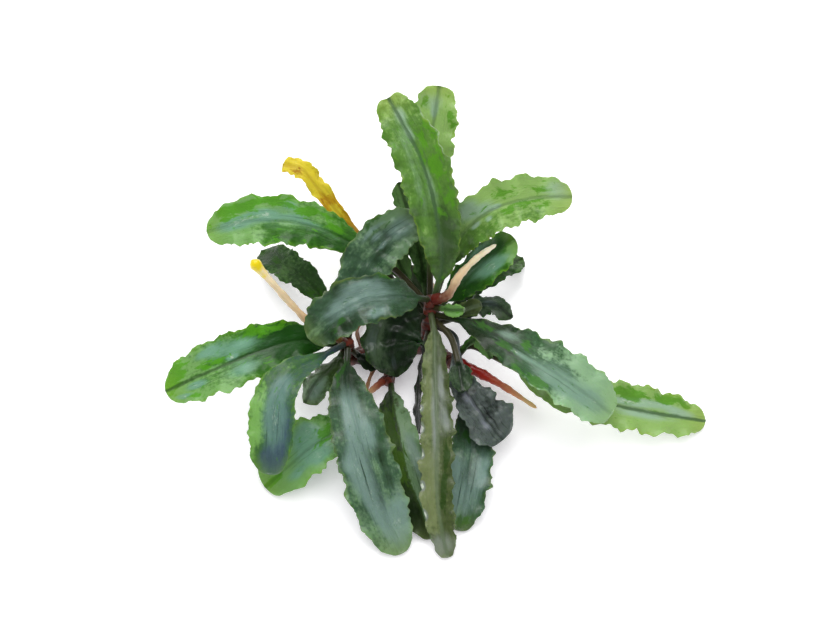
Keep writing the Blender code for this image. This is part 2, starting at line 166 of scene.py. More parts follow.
def smooth_line(points, fractions):
    """Points of a smooth curve through the given points, at fractions of its length."""
    points = np.asarray(points, float)
    padded = np.vstack([2 * points[0] - points[1], points, 2 * points[-1] - points[-2]])
    steps = np.linspace(0, 1, CURVE_STEPS, endpoint=False)[:, None]
    dense = []
    for before, start, end, after in zip(padded, padded[1:], padded[2:], padded[3:]):
        lead = (end - before) / 2
        leave = (after - start) / 2
        dense.append(start + lead * steps + (3 * (end - start) - 2 * lead - leave) * steps ** 2
                     + (2 * (start - end) + lead + leave) * steps ** 3)
    dense = np.vstack(dense + [points[-1:]])
    travelled = np.concatenate([[0], np.cumsum(np.linalg.norm(np.diff(dense, axis=0), axis=1))])
    wanted = np.asarray(fractions) * travelled[-1]
    return np.stack([np.interp(wanted, travelled, dense[:, axis]) for axis in range(3)], -1)


def line_length(points):
    """Length of the smooth curve through the given points."""
    dense = smooth_line(points, np.linspace(0, 1, LENGTH_STEPS))
    return np.linalg.norm(np.diff(dense, axis=0), axis=1).sum()


def headings_along(points, fractions):
    """Direction of travel along the smooth curve through the points."""
    ahead = smooth_line(points, np.clip(np.asarray(fractions) + HEADING_STEP, 0, 1))
    behind = smooth_line(points, np.clip(np.asarray(fractions) - HEADING_STEP, 0, 1))
    return unit(ahead - behind)


def frames_along(points, fractions, face):
    """Centre, sideways and upward directions along a curve whose upper side looks to face."""
    forward = headings_along(points, fractions)
    side = unit(np.cross(face, forward))
    return smooth_line(points, fractions), side, np.cross(forward, side)


def round_points(line, fractions, face, reach, angle):
    """Points round a curve: how far along it each is, how far out, and at which angle."""
    centre, side, up = frames_along(line, fractions, face)
    return centre + (reach * np.cos(angle))[:, None] * side + (reach * np.sin(angle))[:, None] * up


def blank_rod(name, sides, rows):
    """A closed cylinder cut into rows, the stock from which stems and leaves are shaped."""
    bpy.ops.object.select_all(action="DESELECT")
    bpy.ops.mesh.primitive_cylinder_add(vertices=sides, radius=1, depth=rows)
    rod = bpy.context.object
    rod.name = name
    bpy.ops.object.mode_set(mode="EDIT")
    bpy.ops.mesh.select_mode(type="EDGE")
    bpy.ops.mesh.select_all(action="DESELECT")
    edit = bmesh.from_edit_mesh(rod.data)
    for edge in edit.edges:
        edge.select_set(abs(edge.verts[0].co.z - edge.verts[1].co.z) > rows / 2)
    bmesh.update_edit_mesh(rod.data)
    bpy.ops.mesh.subdivide(number_cuts=rows - 1)
    bpy.ops.object.mode_set(mode="OBJECT")
    while rod.data.uv_layers:
        rod.data.uv_layers.remove(rod.data.uv_layers[0])
    return rod


def rod_places(rod, sides, rows):
    """For each point of a blank rod: its number round the section, and how far up the rod."""
    points = np.empty(len(rod.data.vertices) * 3)
    rod.data.vertices.foreach_get("co", points)
    points = points.reshape(-1, 3)
    turn = np.arctan2(points[:, 1], points[:, 0]) / (2 * math.pi) * sides
    row = np.round(points[:, 2] + rows / 2).astype(int)
    return np.round(turn).astype(int) % sides, np.linspace(0, 1, rows + 1)[row]


def shape_copy(rod, prefix, node, slot, material, points, values, flat_map=None):
    """Let a copy of a blank, its points put in place in millimetres, stand for a CAD node."""
    mesh = rod.data.copy()
    mesh.name = prefix + node
    mesh.vertices.foreach_set("co", (points * MM).ravel())
    for label, numbers in values.items():
        mesh.attributes.new(label, "FLOAT", "POINT").data.foreach_set("value", numbers)
    if flat_map is not None:
        corners = np.empty(len(mesh.loops), int)
        mesh.loops.foreach_get("vertex_index", corners)
        mesh.uv_layers.new(name="blade_mm").uv.foreach_set("vector", flat_map[corners].ravel())
    mesh.shade_smooth()
    mesh.materials.append(material)
    piece = bpy.data.objects.new(prefix + node, mesh)
    bpy.context.collection.objects.link(piece)
    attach(piece, "root")
    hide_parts(node)


# Living stem bark: thin, damp and red-brown, mottled every 2.4 mm or so, darker in the ring scars
# and with fibres about 0.4 mm apart.
bark, tree, shader = new_material("damp_rhizome_bark")
place = add_node(tree, "TexCoord").outputs["Object"]
blotches = add_node(tree, "TexNoise", {"Vector": place, "Scale": 0.42 / MM, "Detail": 5,
                                       "Roughness": 0.6})
fibres = add_node(tree, "TexNoise", {"Vector": place, "Scale": 2.6 / MM, "Detail": 3})
ring = add_node(tree, "Attribute", attribute_name="ring").outputs["Fac"]
colours = add_node(tree, "ValToRGB", {"Fac": blotches})
colours.color_ramp.elements[0].position = 0.32
colours.color_ramp.elements[0].color = linear("2a0e0a")
colours.color_ramp.elements[1].position = 0.68
colours.color_ramp.elements[1].color = linear("7a3222")
scarred = add_node(tree, "Mix", {0: ring, 6: colours, 7: linear("2a1210")}, data_type="RGBA")
bumps = add_node(tree, "Bump", {"Strength": 0.5, "Distance": 0.15 * MM, "Height": fibres})
set_inputs(tree, shader, {"Base Color": scarred, "Normal": bumps, "Roughness": 0.42,
                          "Coat Weight": 0.35, "Coat Roughness": 0.2})

stem_stock = blank_rod("stem_stock", STEM_SIDES, STEM_ROWS)
around_number, along_stem = rod_places(stem_stock, STEM_SIDES, STEM_ROWS)
angle = around_number / STEM_SIDES * 2 * math.pi
rounding = np.sqrt(np.clip(1 - np.abs(2 * along_stem - 1) ** END_SQUARENESS, 0.02, 1))
for stem_name, start_radius, end_radius, face, axis in STEMS:
    if stem_name != "rhizome":
        axis = [np.array(axis[0]) + unit(np.subtract(axis[0], axis[1])) * SHOOT_REACH_IN, *axis]
    travelled = along_stem * line_length(axis)
    wobble = 0.35 * np.sin(angle * 2 + 1.3) + 0.3 * np.sin(angle + travelled)
    ringed = (0.5 + 0.5 * np.cos(2 * math.pi * travelled / RING_SPACING
                                 + wobble)) ** RING_SHARPNESS
    knobs = np.sin(3 * angle + 1.7 * travelled) * np.sin(2.3 * travelled)
    radius = start_radius + (end_radius - start_radius) * along_stem
    reach = radius - RING_DEPTH * ringed + KNOB_HEIGHT * knobs * (ringed < 0.4)
    points = round_points(axis, along_stem, face, reach * rounding, angle)
    points[:, 2] = np.maximum(points[:, 2], 0)
    shape_copy(stem_stock, "scarred_", stem_name, "rhizome", bark, points, {"ring": ringed})
bpy.data.objects.remove(stem_stock)


# Leaves: thick, leathery, wet leaves on short petioles. The two halves of a blade curl up from a
# grooved midrib, the blade puffs a little between its side veins, and the margin ripples.
LEAF_SIDES = 56
LEAF_ROWS = 110
TIP_CROWDING = 1.35
TIP_SHARE = 0.04
PETIOLE_RADIUS = 0.72
BLADE_HALF_THICKNESS = 0.2
THINNING_RATE = 2.5
STEM_SINK = 0.45
FLOOR_GAP = 0.05

# The margin's waves and the scallops that go with them, with finer ones on both, and ragged nicks.
WAVE_SPACING = 6.3
WAVE_OFFSET = 2.3
WAVE_DRIFT = 0.5
WAVE_POWER = 2.5
CURL_POWER = 1.7
SCALLOP_SHARE = 0.5
FINE_SCALLOP_SHARE = 0.3
FINE_SCALLOP_RATE = 2.7
FINE_WAVE_SHARE = 0.25
FINE_WAVE_RATE = 2.3
RAG_DEPTH = 0.5

# The relief of the blade: the groove over the midrib, the rib below it, veins and wrinkles.
GROOVE_DEPTH = 0.22
GROOVE_WIDTH = 0.42
RIB_HEIGHT = 0.42
RIB_WIDTH = 0.65
VEIN_SPACING = 3.1
VEIN_SLANT = 1.5
PUFF_HEIGHT = 0.05
WRINKLE_HEIGHT = 0.2
RUFFLED_WRINKLING = 0.8
NOTCH_WIDTH = 1.6

# Wet leaf skin: a waxy cuticle that runs from deep green where the leaf is dark to pale where it
# is light, as its tone says; the tone is partly the leaf's own colour and partly painted light and
# shade. Over it lies a painted blue-green sheen, a painted reflection of the lamps in the wet skin,
# and over that are soft green blotches, stretched along the leaf, and painted glints of wet light.
# A dark band follows the midrib with fine dark lines beside it, and the thin margin and the tip
# are lighter.
# The colour of the painted glints of wet light, and of the skin towards the petiole.
PAINTED_GLINT_COLOUR = "ccd8c4"
PETIOLE_SKIN = "33301a"


def leaf_material(name, deep, mid, pale, blotch, bloom, margin, rib, blotches=0.5, rim=0.5,
                  gloss=0.4, shine=0.3):
    """A wet leaf skin; blotches and rim are how much of each shows, gloss how wet it is.

    shine is how much its own skin reflects below that film of water.
    """
    material, tree, shader = new_material(name)
    flat = add_node(tree, "UVMap", uv_map="blade_mm").outputs["UV"]
    place = add_node(tree, "TexCoord").outputs["Object"]
    edge, along, upper, tone, blotched, bloomed, ribbed, creased = (
        add_node(tree, "Attribute", attribute_name=label).outputs["Fac"]
        for label in ("edge", "along", "upper", "tone", "blotch", "bloom", "midrib", "lines"))

    # Clouds of about 6 mm and grain of 1 mm, then streaks of 1 by 5 mm, hair lines of 0.6 by
    # 20 mm and flecks of 0.4 by 1.2 mm, which lie along the leaf, as its blotches of 1.4 by 3 mm
    # do. The blotches drift with the leaf's place, so no two leaves have the same ones.
    cloud = add_node(tree, "TexNoise", {"Vector": place, "Scale": 0.17 / MM, "Detail": 4})
    fine = add_node(tree, "TexNoise", {"Vector": place, "Scale": 1.1 / MM, "Detail": 4})
    streaked, lined, specks = (
        add_node(tree, "TexNoise", {
            "Vector": add_node(tree, "Mapping", {"Vector": flat, "Scale": per_mm}),
            "Scale": 1.0, "Detail": detail, "Roughness": roughness, "Distortion": distortion})
        for per_mm, detail, roughness, distortion in (
            ((1.1, 0.22, 1.0), 4, 0.65, 0.0), ((1.8, 0.05, 1.0), 5, 0.7, 0.0),
            ((2.4, 0.8, 1.0), 5, 0.75, 0.8)))
    drift = add_node(tree, "Mapping", {"Vector": place, "Scale": (45, 45, 45)})
    long_shapes = add_node(tree, "Mapping", {"Vector": flat, "Scale": (0.7, 0.3, 1.0)})
    shifted = add_node(tree, "VectorMath", {0: long_shapes, 1: drift}, operation="ADD")
    blotch_noise = add_node(tree, "TexNoise", {"Vector": shifted, "Scale": 1.0, "Detail": 8,
                                               "Roughness": 0.66, "Distortion": 0.7})
    raised = add_node(tree, "Math", {0: blotched, 1: 0.24, 2: blotch_noise},
                      operation="MULTIPLY_ADD")
    in_blotch = add_node(tree, "MapRange", {
        "Value": raised, "From Min": 0.68 - 0.2 * blotches, "From Max": 0.8 - 0.2 * blotches},
        interpolation_type="SMOOTHSTEP")

    # The dark band along the midrib, the lines beside it, and the light margin and tip.
    across = add_node(tree, "SeparateXYZ", {"Vector": flat}).outputs["X"]
    sideways = add_node(tree, "Math", {0: across}, operation="ABSOLUTE")
    wandering = add_node(tree, "Math", {0: streaked, 1: 0.9, 2: sideways},
                         operation="MULTIPLY_ADD")
    midrib = add_node(tree, "MapRange", {"Value": wandering, "From Min": 1.1, "From Max": 0.6},
                      interpolation_type="SMOOTHSTEP")
    band = add_node(tree, "Math", {0: midrib, 1: ribbed}, operation="MULTIPLY", use_clamp=True)
    lines = add_node(tree, "MapRange", {"Value": lined, "From Min": 0.55, "From Max": 0.65},
                     interpolation_type="SMOOTHSTEP")
    by_midrib = add_node(tree, "MapRange", {"Value": sideways, "From Min": 3.4, "From Max": 0.4,
                                            "To Max": 0.45})
    line_depth = add_node(tree, "Math", {0: by_midrib, 1: creased}, operation="ADD",
                          use_clamp=True)
    dark_lines = add_node(tree, "Math", {0: lines, 1: line_depth}, operation="MULTIPLY")
    wavering = add_node(tree, "Math", {0: blotch_noise, 1: 0.7, 2: edge},
                        operation="MULTIPLY_ADD")
    at_rim = add_node(tree, "MapRange", {"Value": wavering, "From Min": 1.22, "From Max": 1.45,
                                         "To Max": rim}, interpolation_type="SMOOTHSTEP")
    at_tip = add_node(tree, "MapRange", {"Value": along, "From Min": 0.82, "From Max": 1.05,
                                         "To Max": 0.45}, interpolation_type="SMOOTHSTEP")
    rim_or_tip = add_node(tree, "Math", {0: at_rim, 1: at_tip}, operation="MAXIMUM")

    # The painted sheen and its painted glints of wet light, and what is darker: painted shade where
    # the tone is low, the petiole, the underside.
    sheen = add_node(tree, "Math", {0: streaked, 1: 0.6, 2: bloomed}, operation="MULTIPLY_ADD")
    in_bloom = add_node(tree, "MapRange", {"Value": sheen, "From Min": 0.4, "From Max": 1.15,
                                           "To Max": 0.92}, interpolation_type="SMOOTHSTEP")
    painted_glint_level = add_node(tree, "Math", {0: specks, 1: 2.2, 2: bloomed}, operation="MULTIPLY_ADD")
    painted_glint = add_node(tree, "MapRange", {"Value": painted_glint_level, "From Min": 2.3, "From Max": 3.0,
                                      "To Max": 0.7}, interpolation_type="SMOOTHSTEP")
    strong_blotch = add_node(tree, "Math", {0: in_blotch, 1: 0.85}, operation="MULTIPLY")
    shaded = add_node(tree, "MapRange", {"Value": tone, "From Min": 0.1, "From Max": -0.5,
                                         "To Max": 0.6})
    stalkward = add_node(tree, "MapRange", {"Value": along, "From Min": 0.03,
                                            "From Max": -0.15})
    underside = add_node(tree, "MapRange", {"Value": upper, "From Min": 0.3, "From Max": -0.3,
                                            "To Max": 0.4})

    body_tone = tone
    for pattern, strength in ((cloud, 0.45), (streaked, 0.3), (fine, 0.4)):
        body_tone = add_node(tree, "Math", {0: pattern, 1: strength, 2: body_tone},
                             operation="MULTIPLY_ADD")
    skin = add_node(tree, "ValToRGB", {"Fac": body_tone})
    stops = skin.color_ramp.elements
    stops[0].position = 0.48
    stops.new(0.84)
    for stop, colour in zip(stops, (deep, mid, pale)):
        stop.color = linear(colour)
    # Layers over the body: painted sheen, dark lines, blotches, rim and tip, midrib band, painted
    # glints, painted shade, petiole and underside.
    for share, colour in ((in_bloom, bloom), (dark_lines, rib), (strong_blotch, blotch),
                          (rim_or_tip, margin), (band, rib), (painted_glint, PAINTED_GLINT_COLOUR), (shaded, deep),
                          (stalkward, PETIOLE_SKIN), (underside, mid)):
        skin = add_node(tree, "Mix", {0: share, 6: skin, 7: linear(colour)}, data_type="RGBA")

    rough = add_node(tree, "MapRange", {"Value": in_blotch, "To Min": 0.38, "To Max": 0.55})
    film = add_node(tree, "MapRange", {"Value": in_blotch, "To Min": gloss,
                                       "To Max": gloss * 0.1})
    grain = add_node(tree, "Math", {0: fine, 1: 0.5, 2: lined}, operation="MULTIPLY_ADD")
    crinkles = add_node(tree, "Math", {0: specks, 1: 0.8, 2: grain}, operation="MULTIPLY_ADD")
    depth = add_node(tree, "MapRange", {"Value": creased, "To Min": 0.55, "To Max": 1.0})
    bump = add_node(tree, "Bump", {"Strength": depth, "Distance": 0.4 * MM, "Height": crinkles})
    set_inputs(tree, shader, {
        "Base Color": skin, "Normal": bump, "Roughness": rough, "Coat Weight": film,
        "Coat Roughness": 0.26, "Specular IOR Level": shine, "Subsurface Weight": 0.1,
        "Subsurface Radius": (0.4, 0.9, 0.15), "Subsurface Scale": 0.6 * MM})
    return material


# Young leaves are light and fresh, slate, sage and grey ones carry the most painted sheen, and part
# of their blue and grey cast is painted reflection too. Shaded and dark ones lie below the others,
# and purple, moss and olive ones are the oldest. The colours of each are those of its skin where it
# is deep, mid and pale, then of its blotch, painted sheen, margin and rib.
LEAF_SKINS = [
    ("light", "wet_leaf_light_green", "fresh_leaf", {"rim": 0.4},
     "2f4e1a", "547f2e", "84a85a", "4c8812", "8caa8e", "8fa03c", "3c5a36"),
    ("fresh", "wet_leaf_fresh_green", "fresh_leaf", {},
     "144208", "3a701c", "709f56", "4a8f0c", "6c9a80", "729a22", "213f18"),
    ("slate", "wet_leaf_blue_green", "fresh_leaf", {},
     "32465a", "38602e", "6c9c4c", "3c7c10", "5a7c72", "729a22", "2b4438"),
    ("sage", "wet_leaf_pale_grey_green", "grey_leaf", {"blotches": 0.4, "gloss": 0.45},
     "14280e", "3c603c", "84a880", "3c7024", "72927e", "7c9c50", "34503c"),
    ("grey", "wet_leaf_grey_green", "grey_leaf", {"blotches": 0.4, "gloss": 0.5},
     "1a2e16", "38563c", "64845f", "2b5c1a", "6d887e", "6c8036", "2b4434"),
    ("shaded", "wet_leaf_shaded_green", "dark_leaf",
     {"blotches": 0.45, "gloss": 0.05, "shine": 0.1},
     "10200a", "24401a", "4c6c3a", "264c0a", "56665f", "3c5820", "18280e"),
    ("dark", "wet_leaf_dark_green", "dark_leaf", {"blotches": 0.35, "rim": 0.4, "gloss": 0.5},
     "0b160a", "1e321c", "40543a", "1c340a", "4c5c58", "32461e", "101c10"),
    ("purple", "wet_leaf_purple_black", "dark_leaf", {"blotches": 0.3, "rim": 0.3, "gloss": 0.5},
     "0c100c", "262e2a", "525c58", "141c14", "747a82", "3c4a40", "0e1210"),
    ("moss", "wet_leaf_moss_green", "olive_leaf", {"blotches": 0.3, "gloss": 0.35},
     "16280a", "31491a", "62805a", "38580a", "708878", "6a7a44", "2a3c1e"),
    ("olive", "wet_leaf_olive", "olive_leaf", {"blotches": 0.3, "rim": 0.3, "gloss": 0.35},
     "182a0a", "46542c", "68744a", "223e08", "767f77", "667248", "56664a"),
]
LOOKS = {look: (slot, leaf_material(name, *colours, **amounts))
         for look, name, slot, amounts, *colours in LEAF_SKINS}

leaf_stock = blank_rod("leaf_stock", LEAF_SIDES, LEAF_ROWS)
around_number, to_tip = rod_places(leaf_stock, LEAF_SIDES, LEAF_ROWS)
to_tip = 1 - (1 - to_tip) ** TIP_CROWDING
half_turn = np.abs(np.where(around_number > LEAF_SIDES // 2, LEAF_SIDES - around_number,
                            around_number))
evenly = 1 - half_turn / (LEAF_SIDES // 4)
across = np.sign(evenly) * (3 * evenly ** 2 - 2 * np.abs(evenly) ** 3)
edge = np.abs(across)
upper = np.where(around_number % (LEAF_SIDES // 2) == 0, 0.0,
                 np.where(around_number < LEAF_SIDES // 2, 1.0, -1.0))


def blade_profile(along_blade, base_power, tip_power):
    """Share of the full half width along a blade, from 0 at its base to 1 where it is widest."""
    inner = np.clip(along_blade, 0, 1)
    widest = base_power / (base_power + tip_power)
    tallest = widest ** base_power * (1 - widest) ** tip_power
    return inner ** base_power * (1 - inner) ** tip_power / tallest


def seat_in(stem_name, seat, first_guide):
    """Where a petiole or stalk grows out of its stem, a little below the bark."""
    start_radius, end_radius, _, axis = next(s[1:] for s in STEMS if s[0] == stem_name)
    at = smooth_line(axis, [seat])[0]
    ahead = headings_along(axis, [seat])[0]
    towards = np.asarray(first_guide, float) - at
    outward = unit(towards - towards.dot(ahead) * ahead)
    return at + outward * (start_radius + (end_radius - start_radius) * seat - STEM_SINK)


def wrinkled(sideways, travelled, seed):
    """Irregular relief of about -1 to 1 for each point: puckers of 1.3 by 2.5 mm and finer ones."""
    places = zip(sideways.tolist(), travelled.tolist())
    return np.array([noise.noise((0.75 * x, 0.4 * y, seed))
                     + 0.5 * noise.noise((2.0 * x, 1.2 * y, seed + 9)) for x, y in places])


def grow_leaf(node, look, stem_name, seat, half_width, midrib, face=(0, -1, 2), petiole=0.2,
              curl=0.25, wave=0.7, phase=0.0, base_power=0.55, tip_power=0.38,
              tones=(0.2, 0.5), band=0.7, ruffle=0.0, notch=0.0, prefix="wavy_", **marks):
    """Shape one leaf from the stock along its midrib, and let it stand for its CAD node.

    seat is how far up its stem it grows, and half_width how wide the blade is from its midrib to
    its margin. face is the way its upper side looks, and petiole the share of its length before
    the blade. curl and wave lift its margins, ruffle buckles it, and notch dents its tip.
    tones says how light the skin is at its base and tip, how much is added on its left half and
    on its right half, looking from base to tip, and how much painted sheen lies along its middle;
    zeros at its end are left out. The halves differ partly as painted light and shade, as if one
    faced the lamps and the other did not. band is how dark its midrib is. marks are soft patches of
    more tone, blotch, painted sheen or lines: where each is along and across the blade, how far it
    reaches each way in millimetres, and how strong it is. Some tone patches are painted shade.
    """
    line = [seat_in(stem_name, seat, midrib[0]), *midrib]
    length = line_length(line)
    travelled = to_tip * length
    centre, side, up = frames_along(line, to_tip, face)
    along_blade = (to_tip - petiole) / (1 - petiole)
    share = blade_profile(along_blade, base_power, tip_power)
    share[to_tip == 1] = TIP_SHARE
    width = np.maximum(share * half_width, PETIOLE_RADIUS * (1 - share / 2))
    width[to_tip == 1] = TIP_SHARE * half_width
    sideways = across * width
    flatness = np.clip(share * THINNING_RATE, 0, 1)
    thickness = PETIOLE_RADIUS + (BLADE_HALF_THICKNESS - PETIOLE_RADIUS) * flatness

    # The waves come a little closer and further apart, and start elsewhere on each leaf.
    swing = 2 * math.pi * travelled / WAVE_SPACING + phase + WAVE_OFFSET * (across > 0)
    swing += WAVE_DRIFT * np.sin(0.37 * travelled + 9 * seat)
    reach = edge ** WAVE_POWER * share
    fine_reach = reach * wave / half_width * edge ** 3
    widen = 1 + SCALLOP_SHARE * wave / half_width * np.cos(swing) * reach
    widen += FINE_SCALLOP_SHARE * np.cos(FINE_SCALLOP_RATE * swing + 1) * fine_reach
    ragged = RAG_DEPTH * wrinkled(3 * across, 1.7 * travelled, seat + 5)
    widen += ragged / np.maximum(width, 1) * share * edge ** 5
    lift = curl * width * edge ** CURL_POWER * share + wave * reach * np.sin(swing)
    lift += FINE_WAVE_SHARE * wave * reach * edge ** 2 * np.sin(FINE_WAVE_RATE * swing + 0.7)
    lift += ruffle * share * (np.sin(1.1 * sideways + 0.9 * travelled + phase)
                              * np.cos(0.8 * travelled - 0.7 * sideways))
    lift += ((WRINKLE_HEIGHT + RUFFLED_WRINKLING * ruffle) * share * np.clip(3 * edge, 0.2, 1)
             * wrinkled(sideways, travelled, seat + half_width))
    veins = np.cos(2 * math.pi * (travelled - VEIN_SLANT * np.abs(sideways)) / VEIN_SPACING)
    lift -= PUFF_HEIGHT * flatness * share * veins * np.minimum(1, 4 * edge * (1 - edge))

    # The section is round in the petiole and flat, with a thin margin, in the blade.
    round_section = np.sqrt(np.clip(1 - across ** 2, 0, 1))
    blade_section = 1 - 0.6 * edge ** 3 - 0.4 * edge ** 12
    body = thickness * (round_section + (blade_section - round_section) * flatness)
    fading = flatness * np.clip(1 - along_blade, 0, 1) ** 0.5
    groove = GROOVE_DEPTH * fading * np.exp(-(sideways / GROOVE_WIDTH) ** 2)
    rib = RIB_HEIGHT * fading * np.exp(-(sideways / RIB_WIDTH) ** 2)
    height = np.where(upper > 0, body - groove, np.where(upper < 0, -body - rib, 0.0))

    tipward = np.clip(8 * to_tip - 7, 0, 1)
    pull_back = notch * np.exp(-(sideways / NOTCH_WIDTH) ** 2) * tipward
    middle = (centre + side * (sideways * widen)[:, None] + up * lift[:, None]
              - np.cross(side, up) * pull_back[:, None])
    middle[:, 2] = np.maximum(middle[:, 2], thickness + FLOOR_GAP)
    points = middle + up * height[:, None]
    points[:, 2] = np.maximum(points[:, 2], FLOOR_GAP)

    base_tone, tip_tone, left_tone, right_tone, middle_bloom = (*tones, 0, 0, 0)[:5]
    outward = np.clip(along_blade, 0, 1) ** 0.8
    # One half of the blade is lighter or darker than the other: partly the leaf's own colour,
    # partly painted light and shade, as if one half faced the lamps.
    halves = np.where(across > 0, left_tone, right_tone) * np.minimum(1, 6 * edge)
    skin = {"tone": base_tone + (tip_tone - base_tone) * outward + halves,
            "blotch": np.zeros(len(across)), "lines": np.zeros(len(across)),
            "midrib": np.full(len(across), float(band)),
            "bloom": middle_bloom * np.exp(-(across / 0.5) ** 2) * np.sin(np.pi * outward)}
    blade_length = length * (1 - petiole)
    for kind, patches in marks.items():
        for mark_along, mark_across, long_reach, wide_reach, amount in patches:
            off_along = (along_blade - mark_along) * blade_length / long_reach
            off_across = (across - mark_across) * width / wide_reach
            skin[kind] += amount * np.exp(-off_along ** 2 - off_across ** 2)
    values = {"edge": edge * flatness, "along": along_blade, "upper": upper, **skin}
    shape_copy(leaf_stock, prefix, node, *LOOKS[look], points, values,
               flat_map=np.stack([sideways, travelled], -1))


# Upper crown: the leaves round the tip of the middle shoot. The tall ones at the back are young
# and light green, those at the front are older, darker and lie lower.
grow_leaf(
    "leaf_back_tall", "light", "middle_shoot", 0.95, 5.6,
    [(2, 5.5, 22), (1.5, 8.5, 31), (-2, 18, 42), (-10, 33.5, 47.5)],
    face=(0, -1, 1), petiole=0.08, notch=1.2, tones=(0.05, 0.35, -0.05, -0.05, 0.1), band=0.8,
    tone=[(0.98, -1, 2, 2, 0.2), (0.23, -0.25, 5, 2, -0.35), (0.3, 0.55, 4, 0.8, 0.2),
        (0.9, 0.45, 4, 1.4, 0.05), (0.32, -0.4, 5, 0.8, -0.2)],
    blotch=[(0.73, -0.4, 3.2, 0.7, 1.1), (0.64, -0.75, 1.8, 0.7, 1), (0.58, -0.45, 1.6, 1.2, 1.2),
        (0.64, -0.05, 1.8, 0.7, 1), (0.81, -0.35, 0.8, 0.8, 0.9), (0.44, -0.7, 2.8, 0.9, 1.2),
        (0.37, -0.25, 1.6, 0.9, 0.8), (0.58, -0.45, 2.4, 1, 1.2), (0.73, -0.85, 2.4, 0.9, 0.9)],
    bloom=[(0.88, -0.1, 2.4, 1.1, 0.9), (0.77, -0.05, 2, 0.8, 0.7), (0.5, -0.05, 5, 0.9, 0.4),
        (0.73, -1, 5, 0.3, 1.7), (0.71, 0.3, 7, 1.3, 0.3), (0.48, 0.45, 6, 1.2, 0.3)])
grow_leaf(
    "leaf_back_second", "light", "middle_shoot", 0.6, 4.9,
    [(-0.5, 10.5, 15.5), (-1, 17, 27), (-0.5, 25.5, 38), (1.5, 37.5, 45.5)],
    face=(0, -1, 1), petiole=0.25, phase=0.6, base_power=0.8, tip_power=0.3,
    tones=(0.1, 0.75, 0.1), band=0.5,
    tone=[(0.82, -0.95, 0.8, 0.7, 0.5)],
    blotch=[(0.84, -0.7, 1.3, 0.8, 1.3), (0.95, -0.55, 0.6, 0.6, 1), (0.91, 0.65, 1, 1, 0.9),
        (0.78, -0.85, 1, 0.6, 1.2)],
    bloom=[(0.85, 0.05, 1.6, 0.8, 0.9), (0.91, 0.25, 2, 3, 0.6)])
grow_leaf(
    "leaf_back_right", "light", "middle_shoot", 0.72, 5.4,
    [(2.8, 9, 16), (6, 12, 24), (12.5, 14, 31), (21, 16, 33), (30.5, 16.5, 33)],
    wave=0.8, tones=(0.15, 0.75, 0, -0.15, 0.1), band=0.45,
    tone=[(0.9, 0.1, 4, 3, 0.15), (0.8, -0.7, 4, 1.2, -0.15), (0.74, -0.3, 4, 3, -0.12),
        (0.98, 0.2, 1.6, 3, 0.15)],
    blotch=[(0.6, 0.45, 2.4, 1.2, 1.05), (0.69, -0.15, 3.6, 0.9, 1.05),
        (0.6, -0.35, 2.6, 0.8, 0.8), (0.83, -0.4, 1.6, 1, 0.6), (0.78, 0.35, 2.6, 0.8, 0.8)],
    bloom=[(0.39, 0.55, 2.6, 2, 1), (0.48, 0.2, 2.2, 1.2, 0.7), (0.37, -0.15, 1.2, 0.35, 1.6),
        (0.47, -0.25, 0.8, 0.3, 1.5), (0.54, 0.05, 1, 0.4, 1.2), (0.91, 0.4, 3.4, 2.4, 0.7)])
grow_leaf(
    "leaf_back_small", "shaded", "middle_shoot", 0.36, 2.8,
    [(-2, 10.5, 13), (-4, 18.5, 17.5), (-7.5, 30, 21)],
    tones=(0.3, 0.5))
grow_leaf(
    "leaf_back_lowest", "moss", "middle_shoot", 0.2, 3,
    [(-2.5, 10, 6.5), (-5, 16.5, 7.5)],
    petiole=0.12, tones=(-0.1, 0.2))
grow_leaf(
    "leaf_behind_left", "shaded", "middle_shoot", 0.6, 3.2,
    [(-5.5, 8.5, 13), (-10, 16.5, 16.5), (-14.5, 22, 16.5)],
    petiole=0.3, tones=(0.4, 0.7))
grow_leaf(
    "leaf_far_left_upper", "fresh", "middle_shoot", 0.78, 5.6,
    [(-9, 10, 16), (-18, 14.5, 19), (-28, 18, 21), (-40, 19, 21), (-50.5, 18, 18.5)],
    petiole=0.34, tones=(0, 0.65, -0.05, 0.1, 0.3), band=0.2,
    tone=[(0.21, 0.25, 4.5, 2, -0.05), (0.47, 0.6, 6, 1.6, -0.35), (0.59, 0.25, 3, 0.8, -0.2),
        (0.37, 0.05, 3, 1.2, -0.15)],
    blotch=[(0.82, -0.6, 4.2, 1.6, 1.4), (0.6, -0.85, 3.4, 1.3, 1.5), (0.4, -0.55, 3.4, 1.4, 1.2),
        (0.23, -0.35, 3, 1.4, 1), (0.58, 0.75, 2.2, 1.2, 0.7)],
    bloom=[(0.83, 0.05, 4, 1.2, 0.95), (0.64, -0.35, 3.4, 1.2, 0.6), (0.49, -0.65, 1.8, 1.2, 0.7),
        (0.37, -0.1, 2.4, 0.5, 0.3), (0.62, -0.3, 0.6, 0.5, 0.8), (0.7, -0.15, 7, 0.8, 0.95),
        (0.44, -0.25, 2.4, 0.8, 0.5)],
    lines=[(0.7, 0.05, 9, 1, 0.5)])
grow_leaf(
    "leaf_centre_broad", "grey", "middle_shoot", 0.97, 5.8,
    [(-7, -1.5, 20.5), (-14.5, -3.5, 22), (-21.5, -6, 19.5), (-27, -8.5, 15)],
    face=(-1, -2, 5), petiole=0.1, ruffle=0.3, tones=(0.1, 0.15, 0, 0, 0.4), band=0.25,
    tone=[(0.7, 0.55, 3.5, 1.4, -0.25), (0.16, -0.3, 2, 1.2, 0.15), (0.9, 0.05, 2.5, 1, 0.3)],
    blotch=[(0.31, -0.95, 2.8, 1.1, 1), (0.72, 0.4, 3.2, 1, 0.9)],
    bloom=[(0.65, -0.15, 3.6, 1.6, 0.8), (0.4, 0.6, 2.4, 1.1, 1.1), (0.45, -0.45, 4.6, 2.2, 0.9)],
    lines=[(0.57, -0.05, 7, 3, 0.5), (0.18, -0.55, 4, 3, 1)])
